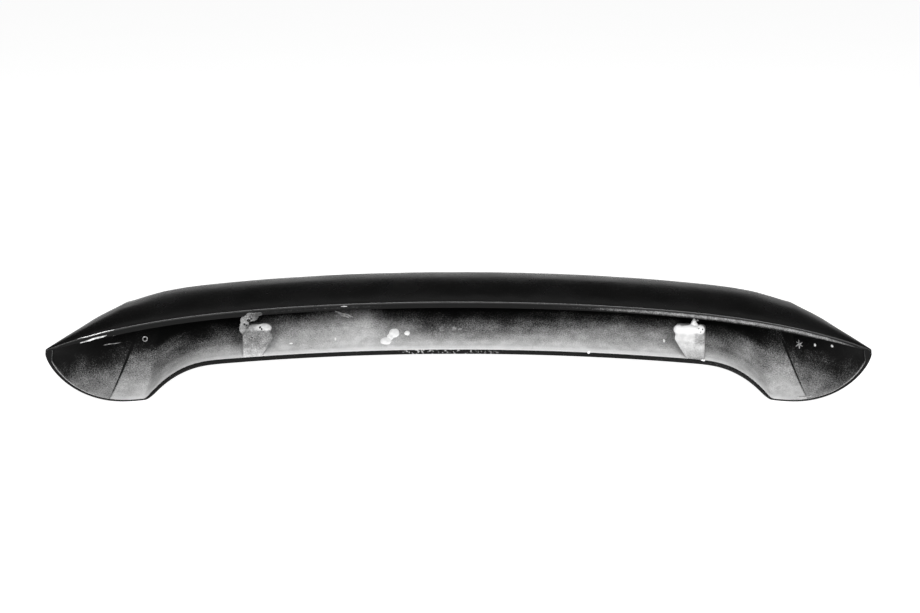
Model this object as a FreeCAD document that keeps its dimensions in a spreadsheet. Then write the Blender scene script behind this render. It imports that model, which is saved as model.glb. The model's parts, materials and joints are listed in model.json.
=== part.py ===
import FreeCAD, Part
import Sketcher
import math
import os

from FreeCAD import Vector

# Hatchback roof spoiler: a hollow moulded shell, open towards the car, with two fixing blocks bonded inside.
# Origin: the middle of the upper rim. +X across the car, +Y to the rear, +Z up, millimetres.

doc = FreeCAD.newDocument("car_spoiler")
sheet = doc.addObject("Spreadsheet::Sheet", "sizes")

DRIVING_SIZES = [
    ("span", 1160, "tip to tip, across the car"),
    ("plan_bow", 64, "how far the tips lie in front of the middle of the upper rim"),
    ("rim_fall", 54, "how far the tips lie below the middle of the upper rim"),
    ("rim_shoulder", 0.5, "share of that fall that comes close to the tips"),
    ("opening_height", 81, "upper rim to lower rim in the middle"),
    ("lower_sag", 14, "how far the lower rim falls from the middle to the leg"),
    ("foot_fall", 148, "foot of the legs below the middle of the upper rim"),
    ("leg_root", 335, "distance from the middle where the lower rim bends into the leg"),
    ("leg_run", 105, "from there to the inner corner of the foot"),
    ("leg_corner", 3, "softness of that inner corner"),
    ("foot_flat", 18, "from that corner to where the foot starts to rise to the tip"),
    ("foot_width", 52, "from that corner to the fold of the end wall"),
    ("leg_splay", 0.13, "outward lean of that fold, across per downward"),
    ("tailgate_lean", 0.25, "rearward lean of the tailgate, along per downward"),
    ("chord_middle", 150, "depth of the top skin in the middle"),
    ("chord_end", 146, "depth of the top skin at the crease"),
    ("crown", 13.5, "bulge of the top skin over a straight line, in the middle"),
    ("trail_rise", 6.5, "trailing edge above the upper rim, in the middle"),
    ("trail_rise_end", 4, "trailing edge above the upper rim, at the crease"),
    ("nose", 9, "thickness of the trailing edge"),
    ("nose_solid", 25, "depth of solid laminate at the trailing edge"),
    ("belly_middle", 6, "bulge of the back wall in the middle"),
    ("belly_leg", 20, "bulge of the back wall at the legs"),
    ("wall", 4, "thickness of the laminate"),
    ("flange_height", 10, "height of the flange turned down at the upper rim"),
    ("flange_wall", 4, "thickness of that flange"),
    ("rim_round", 3, "rounding of the outer corners of both rims"),
    ("tip_height", 7, "height of the blunt tip"),
    ("tip_depth", 6, "depth of the blunt tip"),
    ("tip_solid", 9, "length of solid laminate at each tip"),
    ("tip_nose", 2.5, "thickness of the trailing edge at the tip"),
    ("tip_nose_solid", 6, "depth of solid laminate at the trailing edge, at the tip"),
    ("tip_share", 0.35, "share of the flange and the rim's rounding that is left at the tip"),
    ("mouth_margin", 16, "how far the form of the hollow runs out in front of the rims"),
    ("left_block", 288, "middle of the left fixing block, from the middle"),
    ("right_block", 331, "middle of the right fixing block, from the middle"),
    ("block_width", 43, "width of a fixing block at its top"),
    ("block_foot", 22, "width of a fixing block at its foot"),
    ("block_top", 45, "top face of a fixing block below the middle of the upper rim"),
    ("block_height", 46, "height of a fixing block's front face, trimmed by the wall"),
    ("block_straight", 10, "height of a fixing block's sides above the taper"),
    ("block_depth", 62, "depth of a fixing block's top face"),
    ("block_proud", 0.5, "how far a fixing block's front face stands in front of the rims"),
    ("block_round", 5, "rounded edge of a fixing block's top"),
]
DERIVED_SIZES = [
    ("leg_inside", "=leg_root + leg_run", "distance from the middle to the inner corner of the foot"),
    ("foot_outside", "=leg_inside + foot_flat", "distance from the middle to where the foot starts to rise"),
    ("crease", "=leg_inside + foot_width", "distance from the middle to the fold of the end wall"),
]

for line, (alias, value, meaning) in enumerate(DRIVING_SIZES + DERIVED_SIZES, start=1):
    sheet.set(f"A{line}", meaning)
    sheet.set(f"B{line}", str(value))
    sheet.setAlias(f"B{line}", alias)
doc.recompute()


def size(alias):
    return float(sheet.get(alias))


HALF_SPAN = size("span") / 2
CREASE = size("crease")
TIP_LEVEL = -size("rim_fall")
FOOT_LEVEL = -size("foot_fall")

# Shape of the curves that no length sets: how steeply the rim turns into the leg, how the foot sweeps up
# to the tip, how the trailing edge is rounded and where the back wall bulges.
LEG_POWER = 3.0
END_POWER_ACROSS = 2.2
END_POWER_DOWN = 1.37
NOSE_RAKE = 0.2
NOSE_BULGE = 0.45
UPPER_BELLY = 0.6
LOWER_BELLY = 2.0
STEEPEST_WALL = 2.0

# Cross-sections: even steps to the leg's root, shares of the leg's run and shares of the foot's width.
ROOT_STEPS = 4
LEG_STEPS = [0.25, 0.45, 0.6, 0.72, 0.82, 0.9, 0.96]
FOOT_STEPS = [0.04, 0.16, 0.32, 0.56]
END_STEPS = 9
SLOPE_STEP = 0.5
CLOSE = 1e-6


def between(start, end, share):
    return start + (end - start) * share


# The two rims, as functions of the distance from the middle.

def upper_rim(across):
    share = across / HALF_SPAN
    shoulder = size("rim_shoulder")
    along = -size("plan_bow") * share ** 2
    up = -size("rim_fall") * share ** 2 * (1 - shoulder + shoulder * share ** 4)
    return along, up


def lower_rim_level(across):
    arch = -size("opening_height") - size("lower_sag") * (across / size("leg_inside")) ** 2
    run = max(0, (across - size("leg_root")) / (size("leg_inside") - size("leg_root")))
    falling = arch + (FOOT_LEVEL - arch) * run ** LEG_POWER
    apart = falling - FOOT_LEVEL
    level = FOOT_LEVEL + (apart + math.hypot(apart, 2 * size("leg_corner"))) / 2
    rise = (across - size("foot_outside")) / (HALF_SPAN - size("foot_outside"))
    rise = min(max(rise, 0), 1)
    to_tip = 1 - (1 - rise ** END_POWER_ACROSS) ** (1 / END_POWER_DOWN)
    return between(level, TIP_LEVEL - size("tip_height"), to_tip)


def on_tailgate(across, level):
    along, up = upper_rim(across)
    return along + size("tailgate_lean") * (up - level)


# One cross-section of the spoiler, across the car. Points are (along, up), and each edge is the list of
# poles of a Bezier curve.

class Section:

    def __init__(self, station):
        self.station = station
        across = abs(station)
        self.across = across
        self.full = min(1, (HALF_SPAN - across) / (HALF_SPAN - CREASE))
        self.small = between(size("tip_share"), 1, self.full)
        outward = min(across, CREASE) / CREASE
        chord = between(size("chord_middle"), size("chord_end"), outward ** 2)
        self.chord = between(size("tip_depth"), chord, self.full)
        self.rise = between(size("trail_rise"), size("trail_rise_end"), outward ** 2) * self.full
        self.crown = size("crown") * self.chord / size("chord_middle")
        self.nose = between(size("tip_nose"), size("nose"), self.full)
        self.belly = between(size("belly_middle"), size("belly_leg"), outward ** 4) * self.full
        self.round = size("rim_round") * self.small
        self.rim = Vector(0, *upper_rim(across))
        level = lower_rim_level(across)
        self.foot = Vector(0, on_tailgate(across, level), level)
        self.tail = self.top(1)
        self.tail_under = self.tail + Vector(0, -NOSE_RAKE * self.nose, -self.nose)
        run = self.foot - self.tail_under
        out = Vector(0, -run.z, run.y).normalize()
        self.back_upper = self.tail_under + run * (1 / 3) + out * (self.belly * UPPER_BELLY)
        self.back_lower = self.tail_under + run * (2 / 3) + out * (self.belly * LOWER_BELLY)

    def top(self, share, below=0):
        up = self.rise * share + 4 * self.crown * share * (1 - share)
        return self.rim + Vector(0, self.chord * share, up - below)

    def top_handle(self, start, end, below=0):
        slope = self.rise + 4 * self.crown * (1 - 2 * start)
        half = (end - start) / 2
        return self.top(start, below) + Vector(0, self.chord * half, slope * half)

    def placed(self, edges):
        # The legs splay, so a section leans outwards towards its foot.
        moved = []
        for poles in edges:
            row = []
            for point in poles:
                lean_out = size("leg_splay") * (TIP_LEVEL - point.z) / CREASE
                row.append(Vector(self.station * (1 + lean_out), point.y, point.z))
            moved.append(row)
        return moved

    def outer_edges(self):
        start = self.round / self.chord
        nose_push = Vector(0, NOSE_BULGE * self.nose, 0)
        to_back = (self.back_lower - self.foot).normalize() * self.round
        up_face = (self.rim - self.foot).normalize() * self.round
        rim_front, foot_back, foot_front = self.rim - up_face, self.foot + to_back, self.foot + up_face
        return self.placed([
            [rim_front, self.rim, self.top(start)],
            [self.top(start), self.top_handle(start, 1), self.tail],
            [self.tail, self.tail + nose_push, self.tail_under + nose_push, self.tail_under],
            [self.tail_under, self.back_upper, self.back_lower, foot_back],
            [foot_back, self.foot, foot_front],
            [foot_front, rim_front],
        ])

    def inner_back(self):
        # The back wall's inner face. Where the rim runs steeply, the wall is thicker along the section.
        further, nearer = lower_rim_level(self.across + SLOPE_STEP), lower_rim_level(self.across - SLOPE_STEP)
        slope = (further - nearer) / (2 * SLOPE_STEP)
        foot_wall = size("wall") * min(STEEPEST_WALL, math.hypot(1, slope))
        first = self.back_upper - self.tail_under
        last = self.foot - self.back_lower
        in_first = Vector(0, first.z, -first.y).normalize() * size("wall")
        in_last = Vector(0, last.z, -last.y).normalize() * foot_wall
        bezier = Part.BezierCurve()
        bezier.setPoles([self.tail_under + in_first, self.back_upper + in_first,
                         self.back_lower + in_last, self.foot + in_last])
        return bezier

    def hollow_edges(self):
        wall = size("wall")
        before = size("mouth_margin")
        under_flange = self.rim.z - size("flange_height") * self.small
        front = on_tailgate(self.across, under_flange)
        flange_back = front + size("flange_wall") * self.small
        begin = (flange_back - self.rim.y) / self.chord
        end = 1 - between(size("tip_nose_solid"), size("nose_solid"), self.full) / self.chord
        apex = self.top(end, wall)
        back = self.inner_back()
        low, high = 0, 1
        while high - low > CLOSE:
            middle = (low + high) / 2
            if back.value(middle).y > apex.y:
                low = middle
            else:
                high = middle
        back.segment(low, 1)
        back_poles = back.getPoles()
        floor = back_poles[-1]
        mouth_top = Vector(0, front - before, under_flange)
        mouth_foot = Vector(0, self.foot.y - before, floor.z)
        flange_foot = Vector(0, flange_back, under_flange)
        flange_head = self.top(begin, wall)
        return self.placed([
            [mouth_top, flange_foot],
            [flange_foot, flange_head],
            [flange_head, self.top_handle(begin, end, wall), apex],
            [apex, back_poles[0]],
            back_poles,
            [floor, mouth_foot],
            [mouth_foot, mouth_top],
        ])


# Stations of the cross-sections: wide apart in the middle, close together at the leg's corner.

def middle_stations():
    root, inside = size("leg_root"), size("leg_inside")
    half = [root * step / ROOT_STEPS for step in range(ROOT_STEPS + 1)]
    half += [between(root, inside, step) for step in LEG_STEPS]
    half += [between(inside, CREASE, step) for step in FOOT_STEPS]
    half += [CREASE]
    return [-across for across in reversed(half[1:])] + half


def end_stations(last):
    quarter = math.pi / 2
    return [between(CREASE, last, math.sin(quarter * step / END_STEPS)) for step in range(END_STEPS + 1)]


# Skinning: one smooth surface through each edge of a row of sections, sewn to a solid.

def skin(rows, parameters):
    faces = []
    for edge_row in zip(*rows):
        paths = []
        for points in zip(*edge_row):
            path = Part.BSplineCurve()
            path.interpolate(Points=list(points), Parameters=parameters)
            paths.append(path)
        degree = len(paths) - 1
        poles = [list(row) for row in zip(*[path.getPoles() for path in paths])]
        surface = Part.BSplineSurface()
        surface.buildFromPolesMultsKnots(
            poles, paths[0].getMultiplicities(), [degree + 1, degree + 1],
            paths[0].getKnots(), [0.0, 1.0], False, False, paths[0].Degree, degree)
        faces.append(surface.toShape())
    return faces


def cap(edges):
    curves = []
    for poles in edges:
        curve = Part.BezierCurve()
        curve.setPoles(poles)
        curves.append(curve.toShape())
    return Part.Face(Part.Wire(curves))


def skinned_solid(name, edges_of, last):
    middle = middle_stations()
    ends = end_stations(last)
    steps = [float(step) for step in range(len(ends))]
    faces = skin([edges_of(Section(at)) for at in middle], middle)
    for side in (-1, 1):
        rows = [edges_of(Section(side * at)) for at in ends]
        faces += skin(rows, steps)
        faces.append(cap(rows[-1]))
    shell = Part.makeShell(faces)
    shell.sewShape()
    solid = Part.makeSolid(shell)
    if solid.Volume < 0:
        solid.reverse()
    form = doc.addObject("Part::Feature", name)
    form.Shape = solid
    return form


outer = skinned_solid("outer_form", Section.outer_edges, HALF_SPAN)
hollow = skinned_solid("hollow_form", Section.hollow_edges, HALF_SPAN - size("tip_solid"))
shell = doc.addObject("Part::Cut", "shell")
shell.Base = outer
shell.Tool = hollow
shell.Label = "spoiler_shell"
doc.recompute()

# A fixing block is a wedge of filler: its front face lies along the tailgate and turns with it, its top
# face is level, its inner side tapers to the foot, and the hollow's wall trims the rest.

def plane_of(body, role):
    return next(item for item in body.Origin.OriginFeatures if item.Role == role)


def outline(body, name, role, corners):
    # A closed outline whose corners are placed by expressions of the sheet.
    sketch = body.newObject("Sketcher::SketchObject", name)
    sketch.AttachmentSupport = (plane_of(body, role), [""])
    sketch.MapMode = "FlatFace"
    count = len(corners)
    turn = 2 * math.pi / count
    ring = [Vector(math.cos(turn * number), math.sin(turn * number), 0) for number in range(count)]
    for number in range(count):
        sketch.addGeometry(Part.LineSegment(ring[number], ring[(number + 1) % count]), False)
    for number in range(count):
        sketch.addConstraint(Sketcher.Constraint("Coincident", number, 2, (number + 1) % count, 1))
    for number, (sideways, upward) in enumerate(corners):
        for kind, expression in (("DistanceX", sideways), ("DistanceY", upward)):
            index = sketch.addConstraint(Sketcher.Constraint(kind, -1, 1, number, 1, 1.0))
            sketch.setExpression(f"Constraints[{index}]", expression)
    return sketch


def fixing_block(label, alias, side):
    across = size(alias)
    inward = "-" if side > 0 else ""
    body = doc.addObject("PartDesign::Body", f"{label}_form")
    face_top = "-sizes.block_top"
    face_foot = "-(sizes.block_top + sizes.block_height)"
    profile = outline(body, f"{label}_profile", "YZ_Plane", [
        ("sizes.tailgate_lean * sizes.block_height", face_foot),
        ("0", face_top),
        ("sizes.block_depth", face_top),
        ("sizes.block_depth", face_foot),
    ])
    wedge = body.newObject("PartDesign::Pad", f"{label}_wedge")
    wedge.Profile = profile
    wedge.setExpression("Length", "sizes.block_width")
    wedge.Midplane = True
    doc.recompute()
    taper = outline(body, f"{label}_taper", "XZ_Plane", [
        (f"{inward}sizes.block_width / 2", "-(sizes.block_top + sizes.block_straight)"),
        (f"{inward}sizes.block_width / 2", face_foot),
        (f"{inward}(sizes.block_foot - sizes.block_width / 2)", face_foot),
    ])
    waist = body.newObject("PartDesign::Pocket", f"{label}_waist")
    waist.Profile = taper
    waist.setExpression("Length", "2 * sizes.block_depth")
    waist.Midplane = True
    doc.recompute()
    level = -size("block_top")
    top_edges = []
    for number, edge in enumerate(waist.Shape.Edges, start=1):
        ends = [vertex.Point for vertex in edge.Vertexes]
        if all(abs(point.z - level) < CLOSE for point in ends):
            top_edges.append(f"Edge{number}")
    rounded = body.newObject("PartDesign::Fillet", f"{label}_rounded")
    rounded.Base = (waist, top_edges)
    rounded.setExpression("Radius", "sizes.block_round")
    doc.recompute()
    if rounded.Shape.Volume >= wedge.Shape.Volume:
        raise RuntimeError(f"{label}: the taper or the rounding cut nothing")
    further, nearer = on_tailgate(across + SLOPE_STEP, level), on_tailgate(across - SLOPE_STEP, level)
    turn = side * math.degrees(math.atan((further - nearer) / (2 * SLOPE_STEP)))
    face = on_tailgate(across, level) - size("block_proud")
    upright = FreeCAD.Rotation(Vector(0, 0, 1), turn)
    body.Placement = FreeCAD.Placement(Vector(side * across, face, 0), upright)
    block = doc.addObject("Part::Common", f"{label}_seated")
    block.Base = body
    block.Tool = hollow
    block.Label = label
    return block


sub_parts = [
    shell,
    fixing_block("left_fixing_block", "left_block", -1),
    fixing_block("right_fixing_block", "right_block", 1),
]
doc.recompute()

failed = [item.Name for item in doc.Objects if "Invalid" in item.State or "Error" in item.State]
if failed:
    raise RuntimeError(f"failed objects: {failed}")
for part in sub_parts:
    if part.Shape.isNull() or not part.Shape.isValid():
        raise RuntimeError(f"bad shape: {part.Label}")

os.makedirs("parts", exist_ok=True)
for part in sub_parts:
    part.Shape.exportStep(f"parts/{part.Label}.step")
    box = part.Shape.BoundBox
    print(part.Label, len(part.Shape.Solids), "solid", round(part.Shape.Volume), "mm3", box)
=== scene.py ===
import json
import math

import bpy
import numpy as np
from mathutils import Matrix, Vector

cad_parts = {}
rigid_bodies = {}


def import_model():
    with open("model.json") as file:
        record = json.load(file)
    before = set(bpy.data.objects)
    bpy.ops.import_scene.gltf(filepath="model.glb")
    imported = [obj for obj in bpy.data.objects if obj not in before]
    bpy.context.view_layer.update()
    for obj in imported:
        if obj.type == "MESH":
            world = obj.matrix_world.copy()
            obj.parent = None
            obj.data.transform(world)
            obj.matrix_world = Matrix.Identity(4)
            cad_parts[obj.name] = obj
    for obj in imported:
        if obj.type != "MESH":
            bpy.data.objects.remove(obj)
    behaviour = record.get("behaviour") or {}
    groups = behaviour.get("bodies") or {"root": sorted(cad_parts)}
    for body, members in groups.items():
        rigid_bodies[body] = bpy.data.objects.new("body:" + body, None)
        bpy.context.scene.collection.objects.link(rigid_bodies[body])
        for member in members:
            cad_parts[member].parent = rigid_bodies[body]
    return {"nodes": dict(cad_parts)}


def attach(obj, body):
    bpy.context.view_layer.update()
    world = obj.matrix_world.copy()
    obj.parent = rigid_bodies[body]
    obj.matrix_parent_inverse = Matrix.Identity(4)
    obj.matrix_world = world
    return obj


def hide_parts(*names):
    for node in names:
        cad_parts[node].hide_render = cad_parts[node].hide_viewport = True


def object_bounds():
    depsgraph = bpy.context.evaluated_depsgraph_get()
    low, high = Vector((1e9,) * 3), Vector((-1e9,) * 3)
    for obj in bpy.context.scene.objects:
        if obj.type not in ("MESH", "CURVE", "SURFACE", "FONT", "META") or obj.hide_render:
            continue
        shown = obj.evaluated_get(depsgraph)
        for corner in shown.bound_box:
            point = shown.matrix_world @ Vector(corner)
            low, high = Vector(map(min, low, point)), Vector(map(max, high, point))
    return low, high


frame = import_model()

cad_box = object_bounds()

# The shell is one moulding of glass mat and resin, laid by hand in a mould, about 4 mm thick.
# Its outer face is black gelcoat. Both rims are sawn to the shape of the tailgate, and the upper one
# is turned down into a flange that is glued to the car. The hollow is bare mat under black overspray.
MM = 0.001
MERGE = 0.001 * MM
HALF_SPAN = 580 * MM
PLAN_BOW = 64 * MM
SMOOTH_ANGLE = math.radians(32)


def only_active(piece):
    """Leaves one object selected and active, as operators expect."""
    bpy.ops.object.select_all(action="DESELECT")
    piece.select_set(True)
    bpy.context.view_layer.objects.active = piece


def merged_copy(node, name):
    """A new piece with the solid's own faces, joined at their edges."""
    piece = bpy.data.objects.new(name, frame["nodes"][node].data.copy())
    bpy.context.scene.collection.objects.link(piece)
    piece.data.name = name
    piece.data.materials.clear()
    only_active(piece)
    bpy.ops.mesh.customdata_custom_splitnormals_clear()
    bpy.ops.object.mode_set(mode="EDIT")
    bpy.ops.mesh.select_all(action="SELECT")
    bpy.ops.mesh.remove_doubles(threshold=MERGE)
    bpy.ops.object.mode_set(mode="OBJECT")
    return piece


skin = merged_copy("spoiler_shell", "spoiler_skin")
bpy.ops.object.shade_smooth_by_angle(angle=SMOOTH_ANGLE)

# Towards both ends the trailing edge rises a little before it turns into the side, so that it
# bends without a corner.
LIFT_OUT = (0, 230, 320, 380, 405, 435, 458, 480, 500, 515, 535, 560, 581)
LIFT_UP = (0, 0.9, 1.8, 3.1, 3.6, 3.2, 1.2, -1, -0.6, 1.5, 6, 6, 0)
LIFT_FROM = 45 * MM
LIFT_FULL = 125 * MM
CAD_TOP = cad_box[1].z


def eased(share):
    """A share from 0 to 1 that starts and ends gently."""
    return share * share * (3 - 2 * share)


for vertex in skin.data.vertices:
    bow = PLAN_BOW * (vertex.co.x / HALF_SPAN) ** 2
    share = min(max((vertex.co.y + bow - LIFT_FROM) / (LIFT_FULL - LIFT_FROM), 0), 1)
    lift = np.interp(abs(vertex.co.x) / MM, LIFT_OUT, LIFT_UP) * MM
    vertex.co.z = min(vertex.co.z + lift * eased(share), CAD_TOP)

# How far each point lies below the upper rim, and how deep in the hollow behind the tailgate's face.
RIM_FALL = 54 * MM
RIM_SHOULDER = 0.5
TAILGATE_LEAN = 0.25
points = np.array([tuple(vertex.co) for vertex in skin.data.vertices])
along = np.abs(points[:, 0]) / HALF_SPAN
rim_height = -RIM_FALL * along ** 2 * (1 - RIM_SHOULDER + RIM_SHOULDER * along ** 4)
below_rim = rim_height - points[:, 2]
behind_mouth = points[:, 1] + PLAN_BOW * along ** 2 - TAILGATE_LEAN * below_rim

# The two sawn rims part the outer face from the hollow: with them hidden, the outer face is
# what still hangs together with the highest point of the wing.
SAWN_FACING = Vector((0, -0.97, -0.24))
SAWN_CLOSE = 0.995
SAWN_SIDE = 0.4
SAWN_DEPTH = 0.9 * MM
RIM_STRIP = 3.6 * MM


def on_rim_round(face):
    """Whether a face lies in the rounded strip along the upper rim."""
    return all(below_rim[index] < RIM_STRIP for index in face.vertices)


sawn = set()
for face in skin.data.polygons:
    level_out = Vector((0, face.normal.y, face.normal.z)).normalized()
    faces_car = level_out.dot(SAWN_FACING) > SAWN_CLOSE and abs(face.normal.x) < SAWN_SIDE
    on_mouth = all(abs(behind_mouth[index]) < SAWN_DEPTH for index in face.vertices)
    if (faces_car or on_mouth) and not on_rim_round(face):
        sawn.add(face.index)
bpy.ops.object.mode_set(mode="EDIT")
bpy.ops.mesh.select_mode(type="FACE")
bpy.ops.object.mode_set(mode="OBJECT")
for face in skin.data.polygons:
    face.select = face.index in sawn
bpy.ops.object.mode_set(mode="EDIT")
bpy.ops.mesh.hide(unselected=False)
bpy.ops.object.mode_set(mode="OBJECT")
showing = [face for face in skin.data.polygons if not face.hide]
highest = max(showing, key=lambda face: face.center.z)
for face in showing:
    face.select = face.index == highest.index
bpy.ops.object.mode_set(mode="EDIT")
bpy.ops.mesh.select_linked()
bpy.ops.object.mode_set(mode="OBJECT")
outside = {face.index for face in skin.data.polygons if face.select and not face.hide}
for face in skin.data.polygons:
    if on_rim_round(face) and face.normal.y < 0:
        outside.add(face.index)
bpy.ops.object.mode_set(mode="EDIT")
bpy.ops.mesh.reveal(select=False)
bpy.ops.object.mode_set(mode="OBJECT")

# The lower rim's outer edge hangs down as a small lip between the legs.
LIP_DROP = 4.2 * MM
LIP_DEPTH = 34 * MM
LIP_FROM = 50 * MM
LIP_OUT = (0, 400, 440, 455, 581)
LIP_SHARE = (1, 1, 0.8, 0, 0)
outer_points = {index for number in outside for index in skin.data.polygons[number].vertices}
for index in outer_points:
    near = min(max(1 - behind_mouth[index] / LIP_DEPTH, 0), 1)
    if below_rim[index] > LIP_FROM:
        share = np.interp(abs(points[index, 0]) / MM, LIP_OUT, LIP_SHARE)
        skin.data.vertices[index].co.z -= LIP_DROP * share * eased(near)
for name, values in (("below_rim", below_rim), ("behind_mouth", behind_mouth)):
    layer = skin.data.attributes.new(name, "FLOAT", "POINT")
    layer.data.foreach_set("value", values.astype(np.float32))


def material(name):
    """A new material, its node tree and its Principled shader."""
    made = bpy.data.materials.new(name)
    made.use_nodes = True
    return made, made.node_tree, made.node_tree.nodes["Principled BSDF"]


def maths(tree, operation, *terms):
    """A Math node on sockets and numbers."""
    made = tree.nodes.new("ShaderNodeMath")
    made.operation = operation
    for socket, term in zip(made.inputs, terms):
        if isinstance(term, bpy.types.NodeSocket):
            tree.links.new(term, socket)
        else:
            socket.default_value = term
    return made.outputs["Value"]


def ramp(tree, value, low, high, stops):
    """Greys along a value that runs from low to high."""
    spread = tree.nodes.new("ShaderNodeMapRange")
    spread.inputs["From Min"].default_value = low
    spread.inputs["From Max"].default_value = high
    tree.links.new(value, spread.inputs["Value"])
    made = tree.nodes.new("ShaderNodeValToRGB")
    made.color_ramp.interpolation = "EASE"
    for element, (position, grey) in zip(made.color_ramp.elements, (stops[0], stops[-1])):
        element.position = position
        element.color = (grey, grey, grey, 1)
    for position, grey in stops[1:-1]:
        element = made.color_ramp.elements.new(position)
        element.color = (grey, grey, grey, 1)
    tree.links.new(spread.outputs["Result"], made.inputs["Fac"])
    return made.outputs["Color"]


def place(tree, axis=None):
    """Object coordinates, or one axis of them."""
    made = tree.nodes.new("ShaderNodeTexCoord")
    if axis is None:
        return made.outputs["Object"]
    parts = tree.nodes.new("ShaderNodeSeparateXYZ")
    tree.links.new(made.outputs["Object"], parts.inputs["Vector"])
    return parts.outputs[axis]


def noise(tree, size, detail):
    """Noise with grains of the given size in metres."""
    made = tree.nodes.new("ShaderNodeTexNoise")
    made.inputs["Scale"].default_value = 1 / size
    made.inputs["Detail"].default_value = detail
    tree.links.new(place(tree), made.inputs["Vector"])
    return made.outputs["Fac"]


def attribute(tree, name):
    """A value stored at the points of the mesh."""
    made = tree.nodes.new("ShaderNodeAttribute")
    made.attribute_name = name
    return made.outputs["Fac"]


def mixed(tree, mask, first, second):
    """A colour between two greys or sockets by a mask."""
    made = tree.nodes.new("ShaderNodeMix")
    made.data_type = "RGBA"
    for slot, term in (("A", first), ("B", second)):
        socket = next(one for one in made.inputs if one.name == slot and one.type == "RGBA")
        if isinstance(term, bpy.types.NodeSocket):
            tree.links.new(term, socket)
        else:
            socket.default_value = (term, term, term, 1)
    tree.links.new(mask, made.inputs["Factor"])
    return next(one for one in made.outputs if one.type == "RGBA")


def bump(tree, shader, height, strength, distance):
    """Fine relief on a shader from a height."""
    made = tree.nodes.new("ShaderNodeBump")
    made.inputs["Strength"].default_value = strength
    made.inputs["Distance"].default_value = distance
    tree.links.new(height, made.inputs["Height"])
    tree.links.new(made.outputs["Normal"], shader.inputs["Normal"])


# Overspray is paint that settled as a fine mist: single specks where it is thin, closed where it is
# thick.
# The same specks also carry painted shade in the hollow, on the sawn edge and on the fillers, and thin
# out where a highlight is painted.
NOISE_MIDDLE = 0.5
NOISE_LOW = 0.3
NOISE_HIGH = 0.7


def swing(tree, size, detail, amount):
    """Noise to both sides of nought."""
    centred = maths(tree, "SUBTRACT", noise(tree, size, detail), NOISE_MIDDLE)
    return maths(tree, "MULTIPLY", centred, amount)


def mottle(tree, size, detail, stops):
    """Greys in patches of the given size."""
    return ramp(tree, noise(tree, size, detail), NOISE_LOW, NOISE_HIGH, stops)


def painted(tree, shader, colour, roughness):
    """Links a colour and a roughness to the shader."""
    tree.links.new(colour, shader.inputs["Base Color"])
    tree.links.new(roughness, shader.inputs["Roughness"])


SPECK = 1.5 * MM
SPECK_DETAIL = 3
SPECK_SPREAD = 0.8
SPECKS_FROM = 0.02
SPECKS_CLOSED = 0.98
speck_group = bpy.data.node_groups.new("spray_and_shade_specks", "ShaderNodeTree")
speck_group.interface.new_socket("Coverage", in_out="INPUT", socket_type="NodeSocketFloat")
speck_group.interface.new_socket("Mask", in_out="OUTPUT", socket_type="NodeSocketFloat")
entry = speck_group.nodes.new("NodeGroupInput")
leave = speck_group.nodes.new("NodeGroupOutput")
specks = swing(speck_group, SPECK, SPECK_DETAIL, SPECK_SPREAD)
speck_amount = maths(speck_group, "ADD", entry.outputs["Coverage"], specks)
closing = speck_group.nodes.new("ShaderNodeMapRange")
closing.interpolation_type = "SMOOTHSTEP"
closing.inputs["From Min"].default_value = SPECKS_FROM
closing.inputs["From Max"].default_value = SPECKS_CLOSED
speck_group.links.new(speck_amount, closing.inputs["Value"])
speck_group.links.new(closing.outputs["Result"], leave.inputs["Mask"])


def spray_and_shade_specks(tree, spray_and_shade_amount):
    """The share of black specks at this amount: sprayed paint, and painted shade where the amount
    carries it.
    """
    made = tree.nodes.new("ShaderNodeGroup")
    made.node_tree = speck_group
    tree.links.new(spray_and_shade_amount, made.inputs["Coverage"])
    return made.outputs["Mask"]


# Gelcoat: black and smooth from the mould, with faint orange peel, wiping haze and settled dust.
HAZE = 90 * MM
HAZE_DETAIL = 4
HAZE_BLACK = ((0, 0.0045), (1, 0.0075))
HAZE_ROUGHNESS = ((0, 0.2), (1, 0.3))
DUST = 3.2 * MM
DUST_DETAIL = 2
DUST_FROM = 0.69
DUST_FULL = 0.78
DUST_SHARE = ((0, 0), (1, 0.7))
DUST_GREY = 0.035
GELCOAT_SHINE = 0.32
PEEL = 5 * MM
PEEL_DETAIL = 2
PEEL_STRENGTH = 0.05
PEEL_HEIGHT = 0.3 * MM
gelcoat, tree, shader = material("black_gelcoat")
haze = noise(tree, HAZE, HAZE_DETAIL)
dust = ramp(tree, noise(tree, DUST, DUST_DETAIL), DUST_FROM, DUST_FULL, DUST_SHARE)
black = ramp(tree, haze, NOISE_LOW, NOISE_HIGH, HAZE_BLACK)
wiped = ramp(tree, haze, NOISE_LOW, NOISE_HIGH, HAZE_ROUGHNESS)
painted(tree, shader, mixed(tree, dust, black, DUST_GREY), wiped)
shader.inputs["Specular IOR Level"].default_value = GELCOAT_SHINE
bump(tree, shader, noise(tree, PEEL, PEEL_DETAIL), PEEL_STRENGTH, PEEL_HEIGHT)

# Laminate: light grey mat under black overspray, black in the depth from overspray and painted shade of
# the recess, thin towards the lower rim.
RISING = ((0, 0), (1, 1))
FALLING = ((0, 1), (1, 0))
DEPTH = 100 * MM
DEPTH_SPRAY_AND_SHADE = ((0, 0), (0.06, 0.07), (0.15, 0.19), (0.3, 0.42), (0.46, 0.59), (0.62, 0.71),
               (0.78, 0.84), (0.92, 1.05), (1, 1.1))
SPAN_COVER = ((0, 0.36), (0.09, 0.42), (0.13, 0.5), (0.16, 0.66), (0.22, 0.62), (0.26, 0.46),
              (0.31, 0.42), (0.37, 0.24), (0.42, 0.52), (0.5, 0.66), (0.58, 0.58), (0.66, 0.54),
              (0.76, 0.52), (0.83, 0.58), (0.87, 0.42), (0.92, 0.3), (1, 0.34))
SPAN_EVEN = 0.5
SPAN_SHARE = ((0, 0.1), (0.5, 1), (1, 1))
CLOUD = 38 * MM
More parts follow.
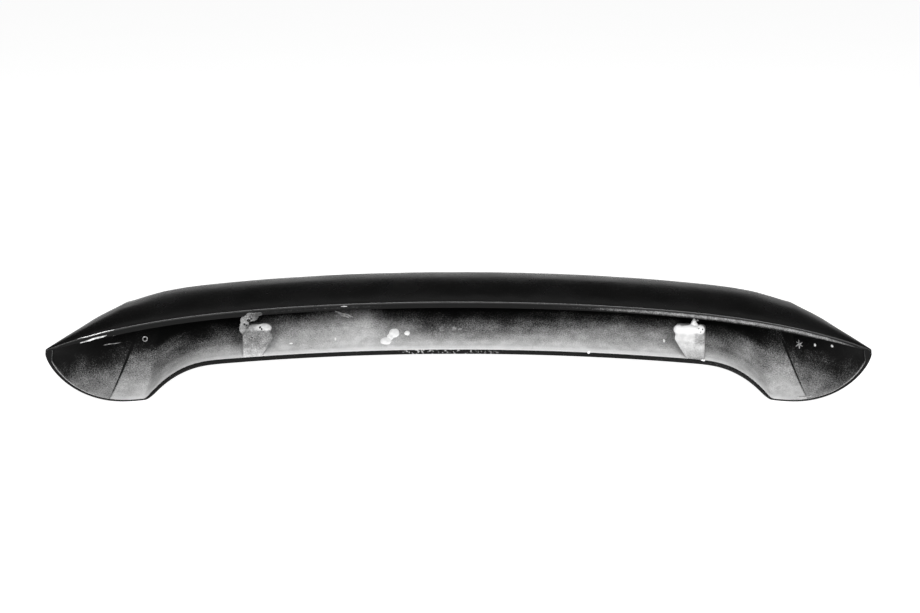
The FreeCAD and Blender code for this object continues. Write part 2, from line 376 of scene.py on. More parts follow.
CLOUD_DETAIL = 3
CLOUD_AMOUNT = 0.45
laminate, tree, shader = material("laminate_spray_and_painted_light")
# Painted shade: deeper in the hollow the mat is darkened on top of the overspray.
depth_spray_and_shade = ramp(tree, attribute(tree, "behind_mouth"), 0, DEPTH, DEPTH_SPRAY_AND_SHADE)
span_cover = ramp(tree, place(tree, "X"), -HALF_SPAN, HALF_SPAN, SPAN_COVER)
span_cover = maths(tree, "SUBTRACT", span_cover, SPAN_EVEN)
span_share = ramp(tree, attribute(tree, "behind_mouth"), 0, DEPTH, SPAN_SHARE)
cloud = swing(tree, CLOUD, CLOUD_DETAIL, CLOUD_AMOUNT)

# Past the fold the end wall is darkened by painted shade, and the fold itself is a painted shade line
# that fades out at its top.
FOLD_OUT = 483 * MM
FOLD_TOP = -88 * MM
FOLD_SLOPE = 0.38
FOLD_BEFORE = -1 * MM
FOLD_PAST = 3 * MM
FOLD_WIDTH = 2.6 * MM
FOLD_SHADE = ((0, 0.6), (0.35, 0.3), (1, 0))
FOLD_FOOT = -146 * MM
FOLD_HEAD = -72 * MM
FOLD_REACH = ((0, 1), (0.75, 1), (1, 0))
END_FOOT = -140 * MM
END_HEAD = -68 * MM
END_WALL_SHADE = ((0, 0.52), (0.3, 0.7), (0.62, 0.9), (1, 1.1))
below_fold_top = maths(tree, "SUBTRACT", FOLD_TOP, place(tree, "Z"))
fold_line = maths(tree, "MULTIPLY_ADD", below_fold_top, FOLD_SLOPE, FOLD_OUT)
past_fold = maths(tree, "SUBTRACT", maths(tree, "ABSOLUTE", place(tree, "X")), fold_line)
end_wall = ramp(tree, past_fold, FOLD_BEFORE, FOLD_PAST, RISING)
# Painted shade on the end wall, and a painted shade line along the fold.
end_wall_shade = ramp(tree, place(tree, "Z"), END_FOOT, END_HEAD, END_WALL_SHADE)
fold_shade = ramp(tree, maths(tree, "ABSOLUTE", past_fold), 0, FOLD_WIDTH, FOLD_SHADE)
fold_reach = ramp(tree, place(tree, "Z"), FOLD_FOOT, FOLD_HEAD, FOLD_REACH)

# Along the mouth the mat is nearly white, partly worn bare by handling and partly a painted highlight of
# the lit rim.
WEAR_AND_HIGHLIGHT_DEPTH = 4.5 * MM
WEAR_AND_HIGHLIGHT = ((0, 0.55), (0.5, 0.3), (1, 0))
BARE_AND_LIT_DEPTH = 14 * MM
BARE_AND_LIT_SHARE = ((0, 1), (0.4, 0.6), (1, 0))
BARE_AND_LIT_WHITE = 0.94
MAT = 14 * MM
MAT_DETAIL = 4
MAT_GREY = ((0, 0.58), (1, 0.74))
SPRAY_AND_SHADE_BLACK = 0.005
LAMINATE_ROUGHNESS = ((0, 0.6), (1, 0.42))
LAMINATE_SHINE = 0.1
STRAND = 6 * MM
STRAND_DETAIL = 5
BUNDLE = 24 * MM
BUNDLE_DETAIL = 2
MAT_STRENGTH = 0.35
MAT_HEIGHT = 0.8 * MM
rim_wear_and_highlight = ramp(tree, attribute(tree, "behind_mouth"), 0, WEAR_AND_HIGHLIGHT_DEPTH, WEAR_AND_HIGHLIGHT)
spray_and_shade_amount = maths(tree, "MULTIPLY_ADD", span_cover, span_share, depth_spray_and_shade)
spray_and_shade_amount = maths(tree, "MAXIMUM", spray_and_shade_amount, maths(tree, "MULTIPLY", end_wall, end_wall_shade))
spray_and_shade_amount = maths(tree, "SUBTRACT", maths(tree, "ADD", spray_and_shade_amount, cloud), rim_wear_and_highlight)
spray_and_shade_amount = maths(tree, "MULTIPLY_ADD", fold_shade, fold_reach, spray_and_shade_amount)
spray_and_shade_mask = spray_and_shade_specks(tree, spray_and_shade_amount)
# Painted highlight and wear: close to the mouth the mat is nearly white.
bare_and_lit_mouth = ramp(tree, attribute(tree, "behind_mouth"), 0, BARE_AND_LIT_DEPTH, BARE_AND_LIT_SHARE)
mat_and_lit_mouth = mixed(tree, bare_and_lit_mouth, mottle(tree, MAT, MAT_DETAIL, MAT_GREY), BARE_AND_LIT_WHITE)
spray_and_painted_light = mixed(tree, spray_and_shade_mask, mat_and_lit_mouth, SPRAY_AND_SHADE_BLACK)
painted(tree, shader, spray_and_painted_light, ramp(tree, spray_and_shade_mask, 0, 1, LAMINATE_ROUGHNESS))
shader.inputs["Specular IOR Level"].default_value = LAMINATE_SHINE
fibres = maths(tree, "ADD", noise(tree, STRAND, STRAND_DETAIL), noise(tree, BUNDLE, BUNDLE_DETAIL))
bump(tree, shader, fibres, MAT_STRENGTH, MAT_HEIGHT)

# Sawn edge: black on the lower rim and the left of the flange, bare and rough on the flange's right,
# with painted shade along the flange's lower edge.
FLANGE_COVER = ((0, 1.05), (0.22, 1.05), (0.27, 0.84), (0.38, 0.82), (0.43, 1.02), (0.58, 1.05),
                (0.65, 0.82), (0.7, 0.6), (0.75, 0.5), (0.84, 0.46), (0.94, 0.48), (0.975, 0.65),
                (1, 1.05))
SEAM_FROM = 3.2 * MM
SEAM_TO = 14 * MM
SEAM_AND_FLANGE_SHADE = ((0, 0.9), (0.1, 0.15), (0.3, 0.1), (0.65, 0.45), (0.95, 0.45), (1, 0))
LOWER_FROM = 18 * MM
LOWER_TO = 26 * MM
LOWER_COVER = ((0, 0), (1, 0.5))
CHIPPED_OUT = 110 * MM
CHIPPED = ((0, 0), (0.2, 1), (0.7, 0.7), (1, 0))
CHIP = 4 * MM
CHIP_DETAIL = 3
CHIP_FROM = 0.54
CHIP_FULL = 0.6
CHIP_SHARE = ((0, 0), (1, 1.1))
CHIP_AMOUNT = 2.4
FIBRE = 7 * MM
FIBRE_DETAIL = 5
FIBRE_GREY = ((0, 0.32), (1, 0.62))
SAWN_BLACK = 0.004
SAWN_ROUGHNESS = ((0, 0.75), (1, 0.5))
SAWN_SHINE = 0.1
SAW_MARK = 3.5 * MM
SAW_DETAIL = 5
SAW_STRENGTH = 0.5
SAW_HEIGHT = 0.6 * MM
sawn_edge, tree, shader = material("sawn_edge")
flange_cover = ramp(tree, place(tree, "X"), -HALF_SPAN, HALF_SPAN, FLANGE_COVER)
# Painted shade along the flange's lower edge, below the dark seam under the rounding.
seam_and_flange_shade = ramp(tree, attribute(tree, "below_rim"), SEAM_FROM, SEAM_TO, SEAM_AND_FLANGE_SHADE)
lower_cover = ramp(tree, attribute(tree, "below_rim"), LOWER_FROM, LOWER_TO, LOWER_COVER)
chip_reach = ramp(tree, place(tree, "X"), -CHIPPED_OUT, CHIPPED_OUT, CHIPPED)
chips = ramp(tree, noise(tree, CHIP, CHIP_DETAIL), CHIP_FROM, CHIP_FULL, CHIP_SHARE)
chips = maths(tree, "MULTIPLY", maths(tree, "MULTIPLY", chips, chip_reach), lower_cover)
spray_and_shade_amount = maths(tree, "ADD", maths(tree, "ADD", flange_cover, seam_and_flange_shade), lower_cover)
spray_and_shade_amount = maths(tree, "SUBTRACT", spray_and_shade_amount, maths(tree, "MULTIPLY", chips, CHIP_AMOUNT))
spray_and_shade_mask = spray_and_shade_specks(tree, spray_and_shade_amount)
fibre = mottle(tree, FIBRE, FIBRE_DETAIL, FIBRE_GREY)
spray_and_painted_light = mixed(tree, spray_and_shade_mask, fibre, SAWN_BLACK)
painted(tree, shader, spray_and_painted_light, ramp(tree, spray_and_shade_mask, 0, 1, SAWN_ROUGHNESS))
shader.inputs["Specular IOR Level"].default_value = SAWN_SHINE
bump(tree, shader, noise(tree, SAW_MARK, SAW_DETAIL), SAW_STRENGTH, SAW_HEIGHT)

skin_materials = [gelcoat, laminate, sawn_edge]
for made in skin_materials:
    skin.data.materials.append(made)
for face in skin.data.polygons:
    if face.index in outside:
        made = gelcoat
    elif face.index in sawn:
        made = sawn_edge
    else:
        made = laminate
    face.material_index = skin_materials.index(made)
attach(skin, "root")
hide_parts("spoiler_shell")

# Two lumps of body filler stand in the hollow, pressed in soft and filed flush with the tailgate's face.
# Pressing squeezed a roll out along the top of each, and air left blow holes in it.
# The right one is white and nearly bare. The left one is grey and has caught the overspray.
VOXEL = 1.1 * MM
BALL_STEPS = 4
PIT_REACH = 1.03
PIT_MATERIAL = 1
SOFTEN = 0.5
SOFTEN_TIMES = 9
LUMP_WAVE = 9 * MM
LUMP_UNEVEN = 0.9 * MM


def apply_all(piece):
    """Applies every modifier of a piece, in order."""
    only_active(piece)
    for modifier in list(piece.modifiers):
        bpy.ops.object.modifier_apply(modifier=modifier.name)


def roughen(piece, texture_name, size, strength):
    """Uneven skin, as of filler put on with a spatula."""
    clouds = bpy.data.textures.new(texture_name, "CLOUDS")
    clouds.noise_scale = size
    wave = piece.modifiers.new("uneven", "DISPLACE")
    wave.texture = clouds
    wave.texture_coords = "LOCAL"
    wave.strength = strength
    wave.mid_level = NOISE_MIDDLE


def evened(piece, size):
    """Fuses a piece into one skin of even faces."""
    remesh = piece.modifiers.new("even", "REMESH")
    remesh.mode = "VOXEL"
    remesh.voxel_size = size


def ball(name, spot, radii, normal=Vector((0, 0, 1))):
    """A round lump whose third radius stands along the normal."""
    bpy.ops.object.select_all(action="DESELECT")
    bpy.ops.mesh.primitive_ico_sphere_add(subdivisions=BALL_STEPS, radius=1, location=spot)
    made = bpy.context.object
    made.name = name
    up = normal.normalized()
    across = up.cross(Vector((1, 0, 0))).normalized()
    side = across.cross(up)
    made.rotation_mode = "QUATERNION"
    turn = [[side[axis], across[axis], up[axis]] for axis in range(3)]
    made.rotation_quaternion = Matrix(turn).to_quaternion()
    made.scale = radii
    bpy.ops.object.transform_apply(location=True, rotation=True, scale=True)
    return made


def pitted(piece, pits):
    """Blow holes cut into a lump, with their insides left to its second material."""
    for spot, radius in pits:
        hole = ball("pit", Vector(spot) * MM, (radius * MM,) * 3)
        cut = piece.modifiers.new("hole", "BOOLEAN")
        cut.operation = "DIFFERENCE"
        cut.object = hole
        only_active(piece)
        bpy.ops.object.modifier_apply(modifier=cut.name)
        bpy.data.objects.remove(hole)
    for polygon in piece.data.polygons:
        for spot, radius in pits:
            if (polygon.center - Vector(spot) * MM).length < radius * MM * PIT_REACH:
                polygon.material_index = PIT_MATERIAL


def joined(pieces, name):
    """One piece from several, under the given name."""
    bpy.ops.object.select_all(action="DESELECT")
    for piece in pieces:
        piece.select_set(True)
    bpy.context.view_layer.objects.active = pieces[0]
    if len(pieces) > 1:
        bpy.ops.object.join()
    piece = bpy.context.object
    piece.name = name
    piece.data.name = name
    return piece


def filler_lump(node, name, rolls, pits):
    """A block of filler with the rolls that it was squeezed into along its top edge."""
    parts = [merged_copy(node, name)]
    for spot, radii in rolls:
        parts.append(ball("roll", Vector(spot) * MM, Vector(radii) * MM))
    piece = joined(parts, name)
    evened(piece, VOXEL)
    soften = piece.modifiers.new("soften", "SMOOTH")
    soften.factor = SOFTEN
    soften.iterations = SOFTEN_TIMES
    roughen(piece, f"{name}_skin", LUMP_WAVE, LUMP_UNEVEN)
    apply_all(piece)
    pitted(piece, pits)
    only_active(piece)
    bpy.ops.object.shade_smooth_by_angle(angle=SMOOTH_ANGLE)
    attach(piece, "root")
    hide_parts(node)
    return piece


RIGHT_ROLLS = (((330, -4, -42), (20, 7, 8)), ((315, -3, -40.5), (7, 7, 7)), ((346, -6, -41), (7, 7, 8)))
RIGHT_PITS = (((343, -12.4, -36.5), 1.5), ((349, -12.4, -38), 1.1), ((346, -13.4, -42), 0.8),
              ((351, -13, -58), 0.9))
LEFT_ROLLS = (((-292, 1, -44), (22, 7, 10)), ((-279, 1, -40), (11, 7, 7.5)))
LEFT_PITS = (((-284.5, -4.5, -37), 1.5), ((-282, -5, -39.5), 1.4), ((-296, -5.5, -52), 1.0))
right_filler = filler_lump("right_fixing_block", "right_filler", RIGHT_ROLLS, RIGHT_PITS)
left_filler = filler_lump("left_fixing_block", "left_filler", LEFT_ROLLS, LEFT_PITS)

# White filler: chalky, with a painted highlight along its top, painted shade on its right side, and
# specks thickening towards the bottom.
LOW_FOOT = -88 * MM
LOW_HEAD = -50 * MM
DARKER_LOW = ((0, 0.6), (0.3, 0.42), (0.7, 0.24), (1, 0.02))
SIDE_FROM = 335 * MM
SIDE_TO = 353 * MM
RIGHT_SIDE_SHADE = ((0, 0), (0.3, 0.42), (0.75, 0.5), (1, 0.5))
SIDE_FOOT = -66 * MM
SIDE_HEAD = -54 * MM
SIDE_REACH = ((0, 0.1), (1, 1))
TOP_HIGHLIGHT_FROM = -48 * MM
TOP_HIGHLIGHT_FULL = -41 * MM
WHITE_PATCH = 9 * MM
WHITE_PATCH_DETAIL = 3
WHITE_PATCH_AMOUNT = 0.3
CHALK = 6 * MM
CHALK_DETAIL = 4
CHALK_GREY = ((0, 0.44), (1, 0.54))
TOP_HIGHLIGHT_WHITE = 0.66
WHITE_SPRAY_AND_SHADE = 0.05
WHITE_ROUGHNESS = ((0, 0.72), (1, 0.5))
GRIT = 2 * MM
GRIT_DETAIL = 4
GRIT_STRENGTH = 0.3
GRIT_HEIGHT = 0.4 * MM
white_filler, tree, shader = material("white_filler")
# Grey specks thicken towards the bottom.
darker_low = ramp(tree, place(tree, "Z"), LOW_FOOT, LOW_HEAD, DARKER_LOW)
# Painted shade on the right side.
right_side_shade = ramp(tree, place(tree, "X"), SIDE_FROM, SIDE_TO, RIGHT_SIDE_SHADE)
# Painted highlight: the top is made whiter than the front.
top_highlight = ramp(tree, place(tree, "Z"), TOP_HIGHLIGHT_FROM, TOP_HIGHLIGHT_FULL, RISING)
below_top_highlight = ramp(tree, top_highlight, 0, 1, FALLING)
side_reach = ramp(tree, place(tree, "Z"), SIDE_FOOT, SIDE_HEAD, SIDE_REACH)
right_side_shade = maths(tree, "MULTIPLY", right_side_shade, maths(tree, "MULTIPLY", below_top_highlight, side_reach))
patches = swing(tree, WHITE_PATCH, WHITE_PATCH_DETAIL, WHITE_PATCH_AMOUNT)
spray_and_shade_mask = spray_and_shade_specks(tree, maths(tree, "ADD", maths(tree, "ADD", darker_low, right_side_shade), patches))
chalk_and_top_highlight = mixed(tree, top_highlight, mottle(tree, CHALK, CHALK_DETAIL, CHALK_GREY), TOP_HIGHLIGHT_WHITE)
spray_and_painted_light = mixed(tree, spray_and_shade_mask, chalk_and_top_highlight, WHITE_SPRAY_AND_SHADE)
painted(tree, shader, spray_and_painted_light, ramp(tree, spray_and_shade_mask, 0, 1, WHITE_ROUGHNESS))
bump(tree, shader, noise(tree, GRIT, GRIT_DETAIL), GRIT_STRENGTH, GRIT_HEIGHT)
right_filler.data.materials.append(white_filler)
right_filler.data.materials.append(gelcoat)

# Grey filler: the same putty under overspray, with a painted highlight along the right part of its roll.
HEIGHT_FOOT = -88 * MM
HEIGHT_HEAD = -15 * MM
HEIGHT_COVER = ((0, 0.2), (0.18, 0.42), (0.33, 0.66), (0.52, 0.68), (0.68, 0.62), (0.86, 0.56),
                (1, 0.62))
SMEARED_FROM = -32 * MM
SMEARED_FULL = -25 * MM
THIN_FROM = -303 * MM
THIN_TO = -286 * MM
THIN_COVER = ((0, 0), (1, 0.3))
LEDGE_FOOT = -43 * MM
LEDGE_HEAD = -28 * MM
LEDGE_HIGHLIGHT = ((0, 0), (0.2, 0.5), (0.8, 0.5), (1, 0))
LEDGE_FROM = -296 * MM
LEDGE_FULL = -284 * MM
GREY_PATCH = 11 * MM
GREY_PATCH_DETAIL = 3
GREY_PATCH_AMOUNT = 0.35
PUTTY = 8 * MM
PUTTY_DETAIL = 4
PUTTY_GREY = ((0, 0.4), (1, 0.62))
GREY_SPRAYED = 0.012
GREY_ROUGHNESS = ((0, 0.7), (1, 0.45))
COARSE_GRIT = 2.4 * MM
COARSE_STRENGTH = 0.35
grey_filler, tree, shader = material("grey_filler")
height_cover = ramp(tree, place(tree, "Z"), HEIGHT_FOOT, HEIGHT_HEAD, HEIGHT_COVER)
smeared = ramp(tree, place(tree, "Z"), SMEARED_FROM, SMEARED_FULL, RISING)
thinning = ramp(tree, place(tree, "X"), THIN_FROM, THIN_TO, THIN_COVER)
height_cover = maths(tree, "ADD", height_cover, maths(tree, "MULTIPLY", smeared, thinning))
# Painted highlight: the overspray is thinned along the lit top of the roll.
ledge = ramp(tree, place(tree, "Z"), LEDGE_FOOT, LEDGE_HEAD, LEDGE_HIGHLIGHT)
ledge_end = ramp(tree, place(tree, "X"), LEDGE_FROM, LEDGE_FULL, RISING)
ledge_highlight = maths(tree, "MULTIPLY", ledge, ledge_end)
patches = swing(tree, GREY_PATCH, GREY_PATCH_DETAIL, GREY_PATCH_AMOUNT)
spray_and_shade_mask = spray_and_shade_specks(tree, maths(tree, "ADD", maths(tree, "SUBTRACT", height_cover, ledge_highlight), patches))
putty = mottle(tree, PUTTY, PUTTY_DETAIL, PUTTY_GREY)
spray_and_painted_light = mixed(tree, spray_and_shade_mask, putty, GREY_SPRAYED)
painted(tree, shader, spray_and_painted_light, ramp(tree, spray_and_shade_mask, 0, 1, GREY_ROUGHNESS))
bump(tree, shader, noise(tree, COARSE_GRIT, GRIT_DETAIL), COARSE_STRENGTH, GRIT_HEIGHT)
left_filler.data.materials.append(grey_filler)
left_filler.data.materials.append(gelcoat)

# Squeezed-out filler stands on top of both lumps: a thin peak on the right one, and on the left one
# a flat smear that was drawn over the flange above it and has blow holes in it.
PEAK_SPOT = (338, 2, -33)
PEAK_SIDES = 24
PEAK_FOOT = 9 * MM
PEAK_TIP = 0.6 * MM
PEAK_HEIGHT = 15 * MM
PEAK_VOXEL = 0.6 * MM
PEAK_WAVE = 4 * MM
PEAK_UNEVEN = 2 * MM
bpy.ops.object.select_all(action="DESELECT")
bpy.ops.mesh.primitive_cone_add(vertices=PEAK_SIDES, radius1=PEAK_FOOT, radius2=PEAK_TIP,
                                depth=PEAK_HEIGHT, location=Vector(PEAK_SPOT) * MM)
peak = bpy.context.object
peak.name = "filler_peak"
peak.data.name = "filler_peak"
bpy.ops.object.transform_apply(location=True, rotation=True, scale=True)
evened(peak, PEAK_VOXEL)
roughen(peak, "peak_skin", PEAK_WAVE, PEAK_UNEVEN)
apply_all(peak)
bpy.ops.object.shade_smooth()
peak.data.materials.append(white_filler)
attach(peak, "root")

FLANGE_FACING = Vector((0.11, -0.96, -0.25))
SMEAR = (((-296, -13, -19), (11, 8, 2.2)), ((-286, -13.5, -15), (7, 4, 1.6)),
         ((-305, -12, -26), (6, 10, 2.4)), ((-309, -9, -37), (5, 10, 2.6)))
SMEAR_PITS = (((-299.4, -13.5, -24.4), 2.5), ((-295.5, -15, -22), 1.5), ((-305.6, -13.5, -30.3), 1.6),
              ((-302.7, -12.5, -31.8), 1.5), ((-297, -15.5, -19), 1.1))
SMEAR_VOXEL = 0.7 * MM
SMEAR_WAVE = 5 * MM
SMEAR_UNEVEN = 2.6 * MM
strokes = []
for spot, radii in SMEAR:
    strokes.append(ball("smear_stroke", Vector(spot) * MM, Vector(radii) * MM, FLANGE_FACING))
smear = joined(strokes, "filler_smear")
evened(smear, SMEAR_VOXEL)
roughen(smear, "smear_skin", SMEAR_WAVE, SMEAR_UNEVEN)
apply_all(smear)
pitted(smear, SMEAR_PITS)
only_active(smear)
bpy.ops.object.shade_smooth_by_angle(angle=SMOOTH_ANGLE)
smear.data.materials.append(grey_filler)
smear.data.materials.append(gelcoat)
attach(smear, "root")

# Dabs of the same white filler lie on the hollow's floor where a spatula touched it, with fainter spots
# and flecks beside them. All of them are thin lumps stuck to the wall.
LEAST_WAVE = 2
LUMP_SHARE = 0.8


def wall(spot):
    """The nearest point of the shell and its outward normal."""
    _, point, normal, _ = skin.closest_point_on_mesh(Vector(spot) * MM)
    return point, normal


def lumps(name, rows, made):
    """Thin lumps on the wall, each row a place and its half length, half width and height."""
    pieces = []
    for number, (spot, radii) in enumerate(rows):
        point, normal = wall(spot)
        piece = ball(f"{name}_{number}", point, Vector(radii) * MM, normal)
        wave = max(radii[0], LEAST_WAVE) * MM
        roughen(piece, f"{name}_{number}_skin", wave, radii[2] * LUMP_SHARE * MM)
        apply_all(piece)
        pieces.append(piece)
    piece = joined(pieces, name)
    only_active(piece)
    bpy.ops.object.shade_smooth()
    piece.data.materials.append(made)
    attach(piece, "root")


DAB = 5 * MM
DAB_DETAIL = 4
DAB_WHITE = ((0, 0.84), (1, 0.95))
DAB_ROUGHNESS = ((0, 0.6), (1, 0.75))
DAB_HEIGHT = 0.3 * MM
DABS = (((-106, 38, -69.5), (8, 8.5, 1.6)), ((-94.6, 54, -61.8), (7.5, 10, 1.8)),
        ((-100, 46, -65), (5, 7, 1.3)), ((-75.6, 54, -61.8), (4.2, 5, 1.2)))
bare_filler, tree, shader = material("bare_filler")
dab_white = mottle(tree, DAB, DAB_DETAIL, DAB_WHITE)
painted(tree, shader, dab_white, mottle(tree, DAB, DAB_DETAIL, DAB_ROUGHNESS))
bump(tree, shader, noise(tree, GRIT, GRIT_DETAIL), GRIT_STRENGTH, DAB_HEIGHT)
lumps("filler_dabs", DABS, bare_filler)

MISTED = 6 * MM
MISTED_DETAIL = 3
MISTED_COVER = ((0, 0.5), (1, 0.72))
MISTED_GREY = 0.6
MISTED_BLACK = 0.01
MISTED_ROUGHNESS = ((0, 0.7), (1, 0.5))
SPOTS = (((-34.5, 52, -62.8), (5, 6, 0.5)), ((-24.3, 62, -57.8), (4, 5, 0.5)),
         ((-8.1, 62, -57.8), (5, 5, 0.5)), ((2, 60, -58.5), (3, 4, 0.4)))
misted_filler, tree, shader = material("misted_filler")
spray_and_shade_mask = spray_and_shade_specks(tree, mottle(tree, MISTED, MISTED_DETAIL, MISTED_COVER))
misted = mixed(tree, spray_and_shade_mask, MISTED_GREY, MISTED_BLACK)
painted(tree, shader, misted, ramp(tree, spray_and_shade_mask, 0, 1, MISTED_ROUGHNESS))
bump(tree, shader, noise(tree, GRIT, GRIT_DETAIL), GRIT_STRENGTH, DAB_HEIGHT)
lumps("filler_spots", SPOTS, misted_filler)

FLECKS = (((351.9, 74, -48.9), (2, 2, 1)), ((352, -8, -84.2), (3, 2.2, 1.2)),
          ((519.7, 33, -74), (2.2, 2.2, 0.7)), ((538.7, 5, -67.6), (2.6, 2, 0.7)),
          ((300, 40, -70), (1.6, 4, 0.5)), ((188, 4, -79), (2, 2, 0.8)),
          ((-180, 42, -68), (1.2, 3.4, 0.5)), ((-244, 34, -73), (2.6, 1.6, 0.4)))
lumps("filler_flecks", FLECKS, bare_filler)

# Clear resin ran and dried on the left flange and in the left end, where a ring of it lies too. Scrape
# marks show in the hollow and on the right leg. All of them are thin glossy films that follow the wall.
# Their pale grey colour is partly the films themselves and partly a painted highlight, most of all on
# the run along the left rim's edge.
FILM = 0.5 * MM
FILM_STEPS = 28
FILM_STRIPS = 4
FILM_TAPER = 0.02
FILM_SWAY = 0.35
FILM_BENDS = 5


def film(name, rows, made):
    """Thin streaks laid on the wall, each row its two ends and its width."""
    pieces = []
    for number, (start, end, width) in enumerate(rows):
        first = Vector(start) * MM
        last = Vector(end) * MM
        _, normal = wall((first + last) / 2 / MM)
        side = (last - first).normalized()
        across = normal.cross(side).normalized()
        bpy.ops.object.select_all(action="DESELECT")
        bpy.ops.mesh.primitive_grid_add(x_subdivisions=FILM_STEPS, y_subdivisions=FILM_STRIPS, size=2)
        piece = bpy.context.object
        piece.name = f"{name}_{number}"
        half = (last - first).length / 2
        for vertex in piece.data.vertices:
            taper = math.sqrt(max(1 - vertex.co.x ** 2, FILM_TAPER))
            sway = FILM_SWAY * math.sin(FILM_BENDS * vertex.co.x + number)
            lengthwise = side * vertex.co.x * half
            widthwise = across * (vertex.co.y * taper + sway) * width * MM / 2
            vertex.co = (first + last) / 2 + lengthwise + widthwise + normal * FILM
        lay = piece.modifiers.new("lay", "SHRINKWRAP")
        lay.target = skin
        lay.wrap_method = "NEAREST_SURFACEPOINT"
        lay.wrap_mode = "ABOVE_SURFACE"
        lay.offset = FILM
        thick = piece.modifiers.new("thick", "SOLIDIFY")
        thick.thickness = 2 * FILM
        thick.offset = 0
        apply_all(piece)
        bpy.ops.object.mode_set(mode="EDIT")
        bpy.ops.mesh.select_all(action="SELECT")
        bpy.ops.mesh.normals_make_consistent(inside=False)
        bpy.ops.object.mode_set(mode="OBJECT")
        pieces.append(piece)
    piece = joined(pieces, name)
    only_active(piece)
    bpy.ops.object.shade_smooth_by_angle(angle=SMOOTH_ANGLE)
    piece.data.materials.append(made)
    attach(piece, "root")


RESIN = 5 * MM
RESIN_DETAIL = 3
RESIN_LOW = 0.35
RESIN_HIGH = 0.65
RESIN_GREY_AND_SHEEN = ((0, 0.34), (1, 0.7))
RESIN_ROUGHNESS = ((0, 0.12), (1, 0.3))
RIPPLE = 1.6 * MM
RIPPLE_STRENGTH = 0.2
RIPPLE_HEIGHT = 0.3 * MM
RUNS = (((-536, -54.6, -40.5), (-485, -44.7, -29), 1.2), ((-533, -53, -46.8), (-497, -45, -36.8), 2.4),
        ((-489, -41, -38.5), (-480, -39, -34.5), 1.8), ((-518.6, 34, -74.5), (-496, 62, -78.5), 1.0))
SCRAPES = (((-183, 89, -39), (-156, 81, -45), 2.4), ((-176, 84, -42), (-162, 80, -45), 1.6),
           ((-168, -5, -6), (-159, -4.5, -6), 1.0), ((497, 62, -77), (506, 52, -82), 1.8),
           ((506, 54, -76), (496, 61, -84), 1.6), ((500, 60, -74), (502, 55, -86), 1.5),
           ((489.8, -7, -141), (510, -15, -137), 3.0))
resin, tree, shader = material("dried_resin_and_sheen")
patchy = noise(tree, RESIN, RESIN_DETAIL)
# Painted highlight: the films are paler than clear resin on black would be.
dried_and_sheen = ramp(tree, patchy, RESIN_LOW, RESIN_HIGH, RESIN_GREY_AND_SHEEN)
painted(tree, shader, dried_and_sheen, ramp(tree, patchy, RESIN_LOW, RESIN_HIGH, RESIN_ROUGHNESS))
bump(tree, shader, noise(tree, RIPPLE, RESIN_DETAIL), RIPPLE_STRENGTH, RIPPLE_HEIGHT)
film("resin_runs", RUNS, resin)
film("scrape_marks", SCRAPES, resin)

RING_SPOT = (-463.3, 71, -75.7)
RING_RADIUS = 3.4 * MM
RING_THICK = 0.8 * MM
RING_STEPS = 40
RING_SIDES = 10
RING_WAVE = 3 * MM
RING_UNEVEN = 0.9 * MM
ring_spot, ring_normal = wall(RING_SPOT)
bpy.ops.object.select_all(action="DESELECT")
bpy.ops.mesh.primitive_torus_add(major_radius=RING_RADIUS, minor_radius=RING_THICK,
                                 major_segments=RING_STEPS, minor_segments=RING_SIDES,
                                 location=ring_spot)
ring = bpy.context.object
ring.name = "resin_ring"
ring.rotation_euler = ring_normal.to_track_quat("Z", "Y").to_euler()
bpy.ops.object.transform_apply(location=True, rotation=True, scale=True)
roughen(ring, "ring_skin", RING_WAVE, RING_UNEVEN)
apply_all(ring)
bpy.ops.object.shade_smooth()
ring.data.materials.append(resin)
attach(ring, "root")

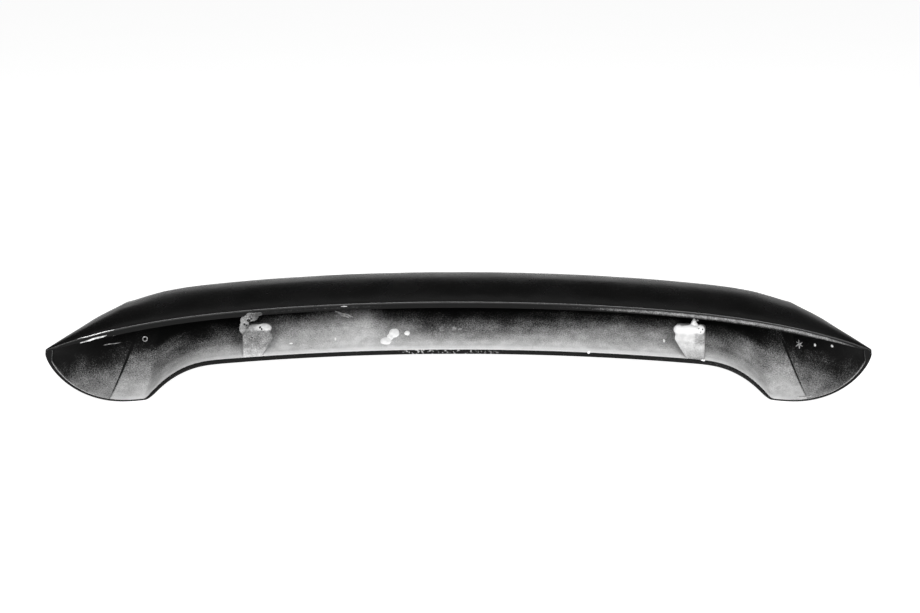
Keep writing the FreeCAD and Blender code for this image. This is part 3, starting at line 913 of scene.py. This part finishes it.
# The floor is plain white studio paper that glows a little, as an overexposed backdrop does.
# A wide soft box in front lights the hollow, and weaker ones above and behind draw the edges.
WHITE = (1, 1, 1, 1)
FLOOR_SIZE = 14
PAPER = 400 * MM
PAPER_DETAIL = 2
PAPER_GREY = ((0, 0.88), (1, 0.92))
PAPER_ROUGHNESS = 0.9
PAPER_GLOW = 0.92
FLOOR_HEIGHT = cad_box[0].z
bpy.ops.object.select_all(action="DESELECT")
bpy.ops.mesh.primitive_plane_add(size=FLOOR_SIZE, location=(0, 0, FLOOR_HEIGHT))
floor = bpy.context.object
floor.name = "floor"
paper, tree, shader = material("floor_paper")
tree.links.new(mottle(tree, PAPER, PAPER_DETAIL, PAPER_GREY), shader.inputs["Base Color"])
shader.inputs["Roughness"].default_value = PAPER_ROUGHNESS
shader.inputs["Emission Color"].default_value = WHITE
shader.inputs["Emission Strength"].default_value = PAPER_GLOW
floor.data.materials.append(paper)

# Each light: its name, place, aim, width, height and watts.
LIGHTS = (("key_light", (0.2, -2.7, 1.15), (0, 0, -0.05), 2.4, 0.9, 98),
          ("top_light", (0, 0.6, 3.0), (0, 0, 0), 4.0, 3.0, 9),
          ("rear_light", (0, 3.2, 0.55), (0, 0, 0.1), 5.0, 0.9, 7.5))
for name, spot, aim, width, height, power in LIGHTS:
    bpy.ops.object.light_add(type="AREA", location=spot)
    made = bpy.context.object
    made.name = name
    made.data.shape = "RECTANGLE"
    made.data.size = width
    made.data.size_y = height
    made.data.energy = power
    made.rotation_euler = (Vector(aim) - Vector(spot)).to_track_quat("-Z", "Y").to_euler()
    made.visible_camera = False

ROOM_LIGHT = 0.03
world = bpy.data.worlds.new("studio")
bpy.context.scene.world = world
world.use_nodes = True
world.node_tree.nodes["Background"].inputs["Color"].default_value = WHITE
world.node_tree.nodes["Background"].inputs["Strength"].default_value = ROOM_LIGHT

CAMERA_SPOT = (0.0021, -2.563, 0.663)
CAMERA_TILT = math.radians(90 - 14.66)
PICTURE_WIDTH = 920
FOCAL_PIXELS = 1851
SENSOR = 36
bpy.ops.object.camera_add(location=CAMERA_SPOT, rotation=(CAMERA_TILT, 0, 0))
camera = bpy.context.object
camera.data.sensor_width = SENSOR
camera.data.lens = SENSOR * FOCAL_PIXELS / PICTURE_WIDTH
bpy.context.scene.camera = camera
bpy.context.scene.view_settings.view_transform = "Standard"
